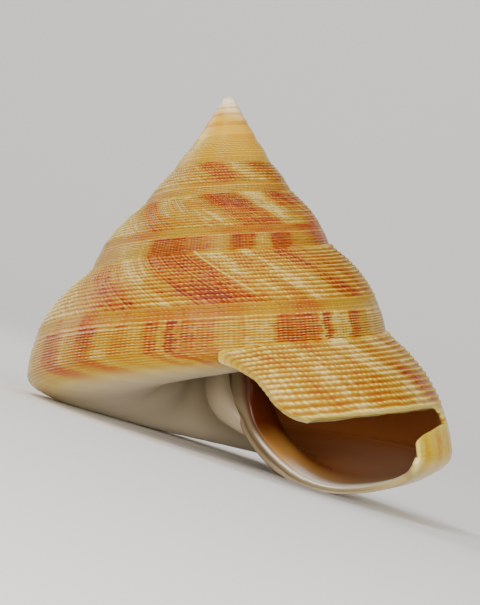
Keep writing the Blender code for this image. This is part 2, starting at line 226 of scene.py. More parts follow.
BAND_BARS = (
    (-3.0, 40), (-2.89, 48), (-2.8, 36), (-2.6, 40), (-2.4, 42), (-2.2, 50), (-2.0, 54),
    (-1.87, 60), (-1.815, 60), (-1.79, 42), (-1.65, 40), (-1.62, 50), (-1.55, 34), (-1.5, 18),
    (-1.4, 36), (-1.25, 46), (-1.1, 34), (-0.95, 34), (-0.86, 32), (-0.845, 50), (-0.82, 50),
    (-0.812, 32), (-0.78, 34), (-0.77, 54), (-0.68, 56), (-0.672, 46), (-0.668, 62), (-0.663, 42),
    (-0.632, 42), (-0.626, 72), (-0.619, 72), (-0.613, 42), (-0.588, 40), (-0.581, 62),
    (-0.575, 30), (-0.55, 14), (-0.47, 14), (-0.4, 42), (-0.3, 24), (-0.2, 46), (-0.1, 30),
    (-0.02, 30), (0.015, 12), (0.05, 6),
)

# The old lip's raised white line, and the fine pale growth lines on the dark bars.
SCAR_AT = -0.7155
SCAR_WIDTH = 0.0030
LINES_PER_TURN = 165.0

# The relief. Pairs say where something starts and where it is whole, in turns, shares of the side
# or places on the underside. Every second cord is missing on the early turns and then grows in.
SECOND_CORDS = (-2.4, -1.5)
CORD_FLAT_IN_BAND = 0.75
CORD_FLAT_UNDER_BASE = 0.93
CORD_FLAT_BELOW_BAND = 0.4
CORD_FLAT_NEAR_LIP = 0.92
LIP_WALL_TURNS = (-0.05, 0.03)
FULL_RELIEF_SIDE = 30.0 * MM
RELIEF_LIMITS = (0.12, 1.1)
RELIEF_POWER = 0.8
RIBS = ((37.0, 0.05 * MM, 0.0), (83.0, 0.04 * MM, 1.3))
FILLET_SHARE = 0.04
FILLET_OF_SWELL = 0.21
FOLDS_PER_TURN = 6.0
FOLDS_START = (7.5, 9.5)
FOLDS_END = (12.0, 13.5)
FOLDS_FADE_TURNS = (-0.16, -0.06)

# Small steps for directions along the surface, a length too short to matter, and one past any edge.
SHORT_TURN = 0.001
SHORT_PLACE = 0.05
TINY = 1e-9
FAR = 1.0
LEAST_RADIUS = 5.0 * MM


def linear(red, green, blue):
    """A colour from its everyday 0 to 255 numbers to the linear ones that shaders use."""
    shares = [part / 255.0 for part in (red, green, blue)]
    return tuple(
        part / 12.92 if part <= 0.04045 else ((part + 0.055) / 1.055) ** 2.4 for part in shares
    )


def smooth_step(value, start, end):
    """Rise from 0 at start to 1 at end, level at both."""
    share = np.clip((value - start) / (end - start), 0.0, 1.0)
    return share * share * (3.0 - 2.0 * share)


def read_between(pairs, place):
    """Values at places in a list of (place, value) pairs, along straight lines."""
    places, values = zip(*pairs)
    return np.interp(place, places, values)


def curve_table(points):
    """A smooth curve through a list of points, as many short steps."""
    points = np.array(points)
    ends = np.vstack((2.0 * points[0] - points[1], points, 2.0 * points[-1] - points[-2]))
    steps = np.linspace(0.0, 1.0, CURVE_STEPS, endpoint=False)[:, None]
    table = []
    for before, here, after, beyond in zip(ends, ends[1:], ends[2:], ends[3:]):
        table.append(0.5 * (
            2.0 * here + (after - before) * steps
            + (2.0 * before - 5.0 * here + 4.0 * after - beyond) * steps ** 2
            + (3.0 * here - before - 3.0 * after + beyond) * steps ** 3
        ))
    return np.vstack(table + [points[-1:]])


BASE_CURVES = (curve_table(BASE_OUTSIDE), curve_table(BASE_INSIDE))


def seam(turn):
    """Radius and depth of the seam between turns."""
    late = np.maximum(turn, EARLY_TURN)
    early = np.exp(EARLY_GROWTH * np.minimum(turn - EARLY_TURN, 0.0))
    radius = SEAM_RADIUS * early
    radius = radius * np.exp(sum(a * late ** (n + 1) for n, a in enumerate(RADIUS_GROWTH)))
    depth = SEAM_DEPTH * early
    depth = depth * np.exp(sum(a * late ** (n + 1) for n, a in enumerate(DEPTH_GROWTH)))
    radius = radius * (1.0 - FLAT_SIDE * np.exp(-((turn - FLAT_SIDE_AT) / FLAT_SIDE_WIDTH) ** 2))
    depth = depth - KEEL_RISE * smooth_step(turn, *KEEL_RISE_TURNS)
    return np.stack((radius, depth), -1)


def side_ends(turn):
    """Top and bottom of a turn's side: the seam above it, and its keel."""
    top = seam(turn)
    top[..., 1] += SEAM_DROP * smooth_step(turn, *SEAM_DROP_TURNS)
    return top, seam(turn + 1.0)


def side_length(turn):
    """Straight length of a turn's side."""
    top, keel = side_ends(turn)
    return np.linalg.norm(keel - top, axis=-1)


def square_to(along):
    """Directions pointing out of the shell, square to the way down it."""
    length = np.maximum(np.linalg.norm(along, axis=-1), TINY)
    return np.stack((along[..., 1], -along[..., 0]), -1) / length[..., None]


def side_point(turn, share, inset=0.0):
    """Points down a turn's swelling side, moved inwards by inset."""
    top, keel = side_ends(turn)
    along = keel - top
    swell = read_between(SWELL, turn) * side_length(turn) * 4.0 * share * (1.0 - share)
    return top + along * share[..., None] + square_to(along) * (swell - inset)[..., None]


def base_point(turn, place, inside=0.0):
    """Points on the underside, from its outer surface (inside 0) to the hollow (inside 1)."""
    keel = seam(turn + 1.0)
    steps = np.arange(len(BASE_CURVES[0])) / CURVE_STEPS
    share, drop = (
        np.interp(place, steps, BASE_CURVES[0][:, part]) * (1.0 - inside)
        + np.interp(place, steps, BASE_CURVES[1][:, part]) * inside for part in (0, 1)
    )
    drop = np.where(drop > 0.0, drop * read_between(BASE_DEPTH, turn), drop)
    radius = np.maximum(keel[..., 0] * share, PIN_HOLE)
    return np.stack((radius, keel[..., 1] + drop * side_length(turn)), -1)


def ceiling_point(turn, place):
    """Points on the tube's hidden upper side, inside the turn above."""
    in_wall = base_point(turn - 1.0, place, CEILING_DEPTH)
    top = seam(turn)
    axis = np.stack((np.full_like(turn, PIN_HOLE), top[..., 1] * AXIS_START), -1)
    straight = axis + (top - axis) * (1.0 - place / LAST_PLACE)[..., None]
    follows = smooth_step(turn, *HOLLOW_TURNS)[..., None]
    return straight + (in_wall - straight) * follows


def in_space(turn, point):
    """Turn radii and depths into places around the axis, with the tip at the origin."""
    angle = 2.0 * math.pi * turn
    return np.stack((point[..., 0] * np.cos(angle), -point[..., 0] * np.sin(angle),
                     -point[..., 1]), -1)


def flat_rows():
    """Turn of growth of each row, from the tip out to the lip, over its edge and up the hollow.

    Returns the turns, the row where the slit starts and the row of the lip's very edge.
    """
    stops = [start for start, _ in OUTWARD_ROWS[1:]] + [LIP_TURN]
    turns = []
    for (start, per_turn), stop in zip(OUTWARD_ROWS, stops):
        turns += list(np.linspace(start, stop, round((stop - start) * per_turn), endpoint=False))
    slit_row = len(turns) - SLIT_ROWS
    edge_row = len(turns) + len(RIM_ANGLES) - 1
    turns += [LIP_TURN] * len(RIM_ANGLES)
    turns += turns[slit_row:edge_row][::-1]
    turns += list(np.linspace(turns[-1], HOLLOW_END, HOLLOW_ROWS + 1)[1:])
    return np.array(turns), slit_row, edge_row


ROW_TURNS, SLIT_ROW, EDGE_ROW = flat_rows()
SLIT_BACK_ROW = 2 * EDGE_ROW - SLIT_ROW
FINE_ROW = int(np.searchsorted(ROW_TURNS[:EDGE_ROW], FINE_FROM))
BASE_ROW = int(np.searchsorted(ROW_TURNS[:EDGE_ROW], BASE_FROM))
RIM_ROW = EDGE_ROW - len(RIM_ANGLES) + 1


def cut_flat_sheet(bm):
    """The flat grid without its hidden stretches and the slit, with fine rows down the sides."""
    rows = len(ROW_TURNS) - 1
    size = Matrix.Diagonal((LAST_COLUMN, rows, 1.0, 1.0))
    bmesh.ops.create_grid(
        bm, x_segments=LAST_COLUMN, y_segments=rows, size=0.5,
        matrix=size @ Matrix.Translation((0.5, 0.5, 0.0)),
    )
    gone = []
    for face in bm.faces:
        column, row, _ = face.calc_center_median()
        in_slit = SLIT_COLUMNS[0] < column < SLIT_COLUMNS[1] and SLIT_ROW < row < SLIT_BACK_ROW
        if in_slit or (column > KEEL_COLUMN and row < BASE_ROW):
            gone.append(face)
    bmesh.ops.delete(bm, geom=gone, context="FACES")
    fine = []
    for edge in bm.edges:
        (x0, y0, _), (x1, y1, _) = (vertex.co for vertex in edge.verts)
        if round(x0) != round(x1):
            continue
        column, row = round(x0), (y0 + y1) / 2.0
        on_side = FINE_ROW < row < RIM_ROW and (column <= KEEL_COLUMN or column == LAST_COLUMN)
        on_slit = 2 * EDGE_ROW - RIM_ROW < row < SLIT_BACK_ROW and column in SLIT_COLUMNS
        if on_side or on_slit:
            fine.append(edge)
    bmesh.ops.subdivide_edges(bm, edges=fine, cuts=FINE_CUTS, use_grid_fill=True)


def close_flat_sheet(bm):
    """Join the sheet's sides, the slit's edges and the ends, before any vertex has moved."""
    def spot(column, row):
        return round(column), round(row * (FINE_CUTS + 1))

    at = {spot(*vertex.co[:2]): vertex for vertex in bm.verts}
    onto = {}
    for vertex in bm.verts:
        column, row = round(vertex.co.x), vertex.co.y
        back = EDGE_ROW < row < SLIT_BACK_ROW + 0.5
        if column == LAST_COLUMN:
            onto[vertex] = at[spot(0, row)]
        elif back and (column in SLIT_COLUMNS or (
                SLIT_COLUMNS[0] < column < SLIT_COLUMNS[1] and row > SLIT_BACK_ROW - 0.5)):
            onto[vertex] = at[spot(column, 2 * EDGE_ROW - row)]
    bmesh.ops.weld_verts(bm, targetmap=onto)
    chains = [
        edge for edge in bm.edges if edge.is_boundary
        and all(vertex.co.y < BASE_ROW + 0.1 for vertex in edge.verts)
        and abs(edge.verts[0].co.x - edge.verts[1].co.x) < 0.5
    ]
    bmesh.ops.bridge_loops(bm, edges=chains)
    ends = bmesh.ops.holes_fill(bm, edges=[e for e in bm.edges if e.is_boundary], sides=0)
    bmesh.ops.poke(bm, faces=ends["faces"])


def places_of(column):
    """What columns stand for: share of the side, and places on the underside and the ceiling."""
    share = read_between(SIDE_COLUMNS, np.minimum(column, KEEL_COLUMN))
    place = read_between(BASE_COLUMNS, np.clip(column, KEEL_COLUMN, AXIS_COLUMN))
    back = (column - AXIS_COLUMN) / (LAST_COLUMN - AXIS_COLUMN)
    ceiling = LAST_PLACE + (CEILING_END - LAST_PLACE) * np.clip(back, 0.0, 1.0)
    return share, place, ceiling


def by_column(column, side, base, ceiling):
    """The values for the side, the underside or the ceiling, whichever a column belongs to."""
    return np.where(column <= KEEL_COLUMN, side, np.where(column > AXIS_COLUMN, ceiling, base))


def growth_line(age, column):
    """Turn reached by each column on the growth line of a given age, which ends as the lip."""
    share, place, ceiling = places_of(column)
    under = read_between(BASE_GROWTH_LINE, place)
    above = under * (ceiling - CEILING_END) / (LAST_PLACE - CEILING_END)
    plain = by_column(column, read_between(GROWTH_LINE, share), under, above)
    lip = by_column(
        column, read_between(SIDE_LIP, share), read_between(BASE_LIP, place),
        read_between(CEILING_LIP, ceiling)) / 360.0 - LIP_TURN
    upper = smooth_step(age, LINE_BLEND_FROM, LIP_TURN)
    lower = smooth_step(age, LOW_LINE_BLEND_FROM, LIP_TURN)
    blend = upper + (lower - upper) * smooth_step(share, SLIT_TOP, SLIT_BOTTOM)
    return age + plain + (lip - plain) * blend


def flared(turn, share):
    """Shares of the side once the slit's edges wave and flare towards the lip."""
    flare = SLIT_FLARE * smooth_step(turn, *SLIT_FLARE_TURNS)
    wave = read_between(SLIT_WAVE, turn)
    wave = wave + SLIT_RIPPLE * np.sin(2.0 * np.pi * RIPPLES_PER_TURN * turn) * (wave > 0.0)
    wave = wave * smooth_step(share, SLIT_WAVE_FROM, SLIT_TOP) * (share <= SLIT_TOP)
    below = flare * (1.0 - share) / (1.0 - SLIT_BOTTOM)
    band = flare * (share - SLIT_TOP) / (SLIT_BOTTOM - SLIT_TOP)
    return share + np.where(share >= SLIT_BOTTOM, below, np.where(share > SLIT_TOP, band, wave))


def relief(age, turn, column, beads, sizes):
    """Height of the cords, beads and growth marks above the plain surface."""
    share, place, _ = places_of(column)
    width = side_length(turn)
    early = 1.0 - smooth_step(turn, *SECOND_CORDS)
    fine_cord, wide_cord = -np.cos(np.pi * (column - 1.0)), -np.cos(np.pi * column / 2.0)
    cord = fine_cord * (1.0 - early) + wide_cord * early
    band = smooth_step(share, SLIT_TOP - 0.03, SLIT_TOP + 0.01)
    band *= 1.0 - smooth_step(share, SLIT_BOTTOM - 0.01, SLIT_BOTTOM + 0.02)
    fade = 1.0 - CORD_FLAT_IN_BAND * band
    fade *= 1.0 - CORD_FLAT_UNDER_BASE * smooth_step(place, 0.0, 5.0)
    fade *= 1.0 - CORD_FLAT_BELOW_BAND * smooth_step(share, 0.74, 0.80)
    fade *= 1.0 - CORD_FLAT_NEAR_LIP * smooth_step(turn, *LIP_WALL_TURNS) * (share > SLIT_BOTTOM)
    fade *= smooth_step(share, 0.0, 0.04)
    scale = np.clip(width / FULL_RELIEF_SIDE, *RELIEF_LIMITS) ** RELIEF_POWER
    crest = 0.5 + 0.5 * cord
    beaded = sizes.bead_height * crest * np.cos(2.0 * np.pi * beads) * (1.0 - band)
    steady = (sizes.cord_height * cord + beaded) * fade * scale
    ribs = sum(high * np.sin(2.0 * np.pi * count * age + shift) for count, high, shift in RIBS)
    ribs = ribs * (1.0 - 0.7 * smooth_step(place, 0.0, 3.0)) * scale
    folds = sizes.fold_height * np.sin(2.0 * np.pi * FOLDS_PER_TURN * turn + 0.5 * place)
    folds *= smooth_step(place, *FOLDS_START) * (1.0 - smooth_step(place, *FOLDS_END))
    folds *= 1.0 - smooth_step(turn, *FOLDS_FADE_TURNS)
    scar = np.exp(-((age - SCAR_AT) / SCAR_WIDTH) ** 2) * (1.0 - smooth_step(share, 0.50, 0.56))
    fillet = np.exp(-(share / FILLET_SHARE) ** 2)
    fillet *= np.minimum(sizes.fillet, FILLET_OF_SWELL * read_between(SWELL, turn) * width)
    return steady + ribs + sizes.scar_height * scar + fillet + folds


def outer_place(age, turn, column, beads, sizes):
    """Places on the outer surface, with its relief."""
    share, place, ceiling = places_of(column)
    height = relief(age, turn, column, beads, sizes)
    side = side_point(turn, flared(turn, share), -height)
    side[..., 0] += TIP_SWELL * np.exp(-(side[..., 1] / TIP_SWELL_DEPTH) ** 2)
    ahead = base_point(turn, place + SHORT_PLACE)
    behind = base_point(turn, np.maximum(place - SHORT_PLACE, 0.0))
    base = base_point(turn, place) + square_to(ahead - behind) * height[..., None]
    return in_space(turn, by_column(column[:, None], side, base, ceiling_point(turn, ceiling)))


def inner_place(age, turn, column):
    """Places on the hollow's surface."""
    share, place, ceiling = places_of(column)
    share = read_between(INNER_SIDE, flared(turn, share))
    wall = read_between(WALL_SHARE, turn)
    side = side_point(turn, share, SIDE_WALL * wall)
    plain = smooth_step(place, *PLAIN_WALL_PLACES)
    base = base_point(turn, place, wall + (1.0 - wall) * plain)
    above = base_point(turn - 1.0, read_between(INNER_CEILING, ceiling))
    inward = smooth_step(LIP_TURN - age, 0.0, GLAZE_GROWS_BY)
    above[..., 1] += GLAZE * (1.4 * inward - 0.4)
    return in_space(turn, by_column(column[:, None], side, base, above))


def edge_distance(age, turn, column, row, radius):
    """How far each vertex stands from the lip's or the slit's edge."""
    share, _, _ = places_of(column)
    from_lip = (LIP_TURN - age) * 2.0 * math.pi * np.maximum(radius, LEAST_RADIUS)
    gap = np.minimum(np.abs(share - SLIT_TOP), np.abs(share - SLIT_BOTTOM)) * side_length(turn)
    from_slit = np.where((row > SLIT_ROW) & (row < SLIT_BACK_ROW), gap, FAR)
    in_band = (column >= SLIT_COLUMNS[0]) & (column <= SLIT_COLUMNS[1])
    behind = np.abs(ROW_TURNS[SLIT_ROW] - age) * 2.0 * math.pi * radius
    from_slit = np.where(in_band & (age <= ROW_TURNS[SLIT_ROW]), behind, from_slit)
    return np.minimum(from_lip, from_slit)


def shell_layout(flat, sizes):
    """World places of the flat sheet's vertices, and the numbers that the finish reads."""
    column, row = flat[:, 0], flat[:, 1]
    share, place, ceiling = places_of(column)
    age = np.interp(row, np.arange(len(ROW_TURNS)), ROW_TURNS)
    turn = growth_line(age, column)
    beads = BEADS_PER_ROW * row
    outer = outer_place(age, turn, column, beads, sizes)
    inner = inner_place(age, turn, column)
    forward = outer_place(age, turn + SHORT_TURN, column, beads, sizes) - outer
    forward /= np.maximum(np.linalg.norm(forward, axis=-1), TINY)[:, None]

    rim_rows = RIM_ROW + np.arange(2 * len(RIM_ANGLES) - 1)
    angles = list(RIM_ANGLES) + [180.0 - angle for angle in RIM_ANGLES[-2::-1]]
    angle = np.radians(np.interp(row, rim_rows, angles))
    slit_edge = (row >= SLIT_ROW - 0.01) & (row <= SLIT_BACK_ROW + 0.01)
    slit_edge &= (column >= SLIT_COLUMNS[0] - 0.01) & (column <= SLIT_COLUMNS[1] + 0.01)
    half = (outer - inner) / 2.0
    rounded = np.sin(angle)
    ridge = np.interp(np.degrees(angle), *zip(*RIM_PROFILE))
    ridged = smooth_step(place, *RIDGE_START) * (1.0 - smooth_step(place, *RIDGE_END))
    profile = rounded + ridged * (ridge - rounded)
    bulge = np.linalg.norm(half, axis=-1) * np.where(slit_edge, 0.0, profile)
    from_edge = np.min([np.abs(column - edge) for edge in SLIT_COLUMNS], axis=0)
    bulge = np.minimum(bulge * smooth_step(from_edge, 0.0, 4.0), sizes.rim_reach)
    facing = np.where(slit_edge, 0.0, np.cos(angle))
    points = (outer + inner) / 2.0 + half * facing[:, None] + forward * bulge[:, None]
    points = points @ np.array(LEAN).T + np.array(TIP_AT)
    points[:, 2] = np.maximum(points[:, 2], 0.0)

    radius = np.linalg.norm(outer[:, :2], axis=-1)
    distance = edge_distance(age, turn, column, row, radius)
    at_keel = growth_line(age, np.full_like(column, KEEL_COLUMN))
    marks = {
        "age": age,
        "turn": turn,
        "share": share,
        "underside": np.where(column > AXIS_COLUMN, 2.0 * LAST_PLACE + 1.0 - ceiling, place),
        "cord": (column - 1.0) / 2.0,
        "bead": beads,
        "hollow": (1.0 - np.cos(angle)) / 2.0,
        "edge": np.exp(-distance / sizes.edge_fade),
        "bar": np.where(column <= KEEL_COLUMN, turn, at_keel),
    }
    return points, marks


def build_shell(sizes):
    """The whole shell as one closed mesh, with the finish's numbers on its vertices."""
    bm = bmesh.new()
    cut_flat_sheet(bm)
    close_flat_sheet(bm)
    bm.verts.ensure_lookup_table()
    points, marks = shell_layout(np.array([vertex.co for vertex in bm.verts], dtype=float), sizes)
    layers = {name: bm.verts.layers.float.new(name) for name in marks}
    for index, vertex in enumerate(bm.verts):
        vertex.co = points[index]
        for name, layer in layers.items():
            vertex[layer] = marks[name][index]
    middle = Matrix.Translation(LEAN @ Vector((0.0, 0.0, -NUCLEUS_DEPTH)) + TIP_AT)
    around, up = NUCLEUS_SEGMENTS
    ball = bmesh.ops.create_uvsphere(
        bm, u_segments=around, v_segments=up, radius=NUCLEUS_RADIUS, matrix=middle)
    for vertex in ball["verts"]:
        vertex[layers["age"]] = ROW_TURNS[0]
        vertex[layers["turn"]] = ROW_TURNS[0]
    add_pillar(bm, layers)
    bmesh.ops.recalc_face_normals(bm, faces=bm.faces[:])
    for face in bm.faces:
        face.smooth = True
    return bm


def sweep_tube(bm, path, sides, fold):
    """A tube along a smooth path of (x, y, z, radius), with soft folds that twist along it."""
    line = curve_table(path)
    steps = len(line) - 1
    sheet = bmesh.ops.create_grid(
        bm, x_segments=sides, y_segments=steps, size=0.5,
        matrix=Matrix.Diagonal((sides, steps, 1.0, 1.0)) @ Matrix.Translation((0.5, 0.5, 0.0)))
    ahead = np.gradient(line[:, :3], axis=0)
    at, onto = {}, {}
    for vertex in sheet["verts"]:
        column, row = round(vertex.co.x), round(vertex.co.y)
        at[column, row] = vertex
        centre, radius = Vector(line[row, :3]), line[row, 3]
        along = Vector(ahead[row]).normalized()
        across = along.cross(Vector((0.0, 1.0, 0.0))).normalized()
        over = along.cross(across)
        angle = 2.0 * math.pi * column / sides
        radius *= 1.0 + fold * math.cos(FOLDS_ROUND_PILLAR * angle + PILLAR_TWIST * row / steps)
        vertex.co = centre + (across * math.cos(angle) + over * math.sin(angle)) * radius
    for (column, row), vertex in at.items():
        if column == sides:
            onto[vertex] = at[0, row]
    bmesh.ops.weld_verts(bm, targetmap=onto)
    return [vertex for (column, _), vertex in at.items() if column < sides]


def add_pillar(bm, layers):
    """The rounded pillar at the axis, which runs down into the ridge on the lip."""
    path = [(x * MM, y * MM, -depth * MM, radius * MM) for x, y, depth, radius in PILLAR]
    verts = sweep_tube(bm, path, PILLAR_SIDES, PILLAR_FOLD)
    for vertex in verts:
        vertex.co = LEAN @ vertex.co + TIP_AT
        vertex[layers["underside"]] = LAST_PLACE
        vertex[layers["share"]] = 1.0
    bmesh.ops.holes_fill(bm, edges=[e for e in bm.edges if e.is_boundary], sides=0)


class Reading:
    """A number, colour or vector that varies over a surface, with Python's operators."""

    def __init__(self, finish, socket):
        self.finish = finish
        self.socket = socket

    def math(self, operation, *values, clamp=False):
        settings = {"operation": operation, "use_clamp": clamp}
        return self.finish.node("ShaderNodeMath", settings, dict(enumerate(values)))

    def __add__(self, other):
        return self.math("ADD", self, other)

    __radd__ = __add__

    def __mul__(self, other):
        return self.math("MULTIPLY", self, other)

    __rmul__ = __mul__

    def __sub__(self, other):
        return self.math("SUBTRACT", self, other)

    def __rsub__(self, other):
        return self.math("SUBTRACT", other, self)

    def __truediv__(self, other):
        return self.math("DIVIDE", self, other)

    def cosine(self):
        return self.math("COSINE", self)

    def floor(self):
        return self.math("FLOOR", self)

    def clamped(self):
        return self.math("ADD", self, 0.0, clamp=True)

    def rising(self, start, end):
        """0 below start, 1 above end, and smooth between."""
        return self.finish.node(
            "ShaderNodeMapRange", {"interpolation_type": "SMOOTHSTEP"},
            {"Value": self, "From Min": start, "From Max": end})

    def falling(self, start, end):
        return 1.0 - self.rising(start, end)

    def near(self, middle, width):
        """1 at middle, falling smoothly to 0 at width on both sides."""
        return self.math("ABSOLUTE", self - middle).falling(0.0, width)


# A colour ramp holds at most 32 stops, so the bars take one ramp for each 30 steps.
RAMP_STEPS = 30


class Finish:
    """A procedural material, drawn from expressions on readings."""

    def __init__(self, name):
        self.material = bpy.data.materials.new(name)
        self.material.use_nodes = True
        self.tree = self.material.node_tree
        self.tree.nodes.clear()

    def node(self, kind, settings=None, values=None, output=0):
        """Make a node: its settings first, then the values or links of its sockets."""
        node = self.tree.nodes.new(kind)
        for name, setting in (settings or {}).items():
            if name == "stops":
                self.set_stops(node.color_ramp, setting)
            else:
                setattr(node, name, setting)
        for name, value in (values or {}).items():
            if isinstance(value, Reading):
                self.tree.links.new(value.socket, node.inputs[name])
            else:
                node.inputs[name].default_value = value
        return Reading(self, node.outputs[output]) if node.outputs else None

    @staticmethod
    def set_stops(ramp, stops):
        while len(ramp.elements) < len(stops):
            ramp.elements.new(1.0)
        for element, (position, colour) in zip(ramp.elements, stops):
            element.position = position
            element.color = (*colour, 1.0)

    def mark(self, name):
        """One of the numbers kept on the mesh."""
        return self.node("ShaderNodeAttribute", {"attribute_name": name}, output="Fac")

    def ramp(self, value, stops):
        return self.node("ShaderNodeValToRGB", {"stops": stops}, {"Fac": value})

    def mix(self, share, first, second, blend="MIX"):
        """A colour between two, at a share of the way."""
        first, second = (
            colour if isinstance(colour, Reading) else (*colour, 1.0) for colour in (first, second))
        return self.node(
            "ShaderNodeMix", {"data_type": "RGBA", "blend_type": blend},
            {"Factor": share, 6: first, 7: second}, 2)

    def tint(self, share, first, second):
        """One colour multiplied by another, as far as share says."""
        return self.mix(share, first, second, "MULTIPLY")

    def vector(self, x, y, z=0.0):
        return self.node("ShaderNodeCombineXYZ", {}, {"X": x, "Y": y, "Z": z})

    def noise(self, vector, scale, detail=2.0):
        """Cloudy values around a half."""
        return self.node(
            "ShaderNodeTexNoise", {"noise_dimensions": "3D"},
            {"Vector": vector, "Scale": scale, "Detail": detail})

    def each(self, vector):
        """A value of its own for each whole-numbered place."""
        return self.node("ShaderNodeTexWhiteNoise", {"noise_dimensions": "3D"}, {"Vector": vector})

    def bars(self, position, tones):
        """The tones of coloured bars against turns of growth, in ramps that share the length."""
        total = None
        for start in range(0, len(tones) - 1, RAMP_STEPS):
            part = tones[start:start + RAMP_STEPS + 1]
            first, last = part[0][0], part[-1][0]
            stops = [
                ((place - first) / (last - first), (tone / 100.0,) * 3) for place, tone in part]
            ramp = self.ramp((position - first) / (last - first), stops)
            if total is None:
                total = ramp
            else:
                total = total + (ramp - total) * position.math("GREATER_THAN", position, first)
        return total

    def bump(self, strength, distance, height):
        return self.node(
            "ShaderNodeBump", {}, {"Strength": strength, "Distance": distance, "Height": height})

    def finished(self, values):
        """The material, once its shader has the values of its sockets."""
        shader = self.node("ShaderNodeBsdfPrincipled", {}, values)
        self.node("ShaderNodeOutputMaterial", {}, {"Surface": shader})
        return self.material


# Where the finish changes, as pairs that say where a part starts and where it is whole: shares of
# the side, turns of growth, metres above the floor and places on the underside.
BAND_TOP = (0.60, 0.64)
BAND_FOOT = (0.735, 0.755)
LOWER_SIDE = (0.70, 0.74)
PLAIN_TURNS = (-3.7, -2.9)
GROOVED_TURNS = (-5.2, -3.0)
BUMPED_TURNS = (-4.6, -1.8)
APEX_HEIGHT = (62.5 * MM, 69.5 * MM)
TIP_HEIGHT = (70.5 * MM, 74.5 * MM)
FUNNEL_PLACES = (6.0, 10.0)

# How much darker the lower bars and the band are than their tables say, the contrast of all bars
# about a middle tone, the noise's cells in a metre, and the bump of beads and threads.
LOW_BARS_DARKER = 0.07
BAR_MIDDLE = 0.42
BAR_CONTRAST = 1.15
WANDER_SCALE = 260.0
CLOUD_SCALE = 45.0
BUMP_STRENGTH = 0.8
BUMP_DISTANCE = 0.6 * MM


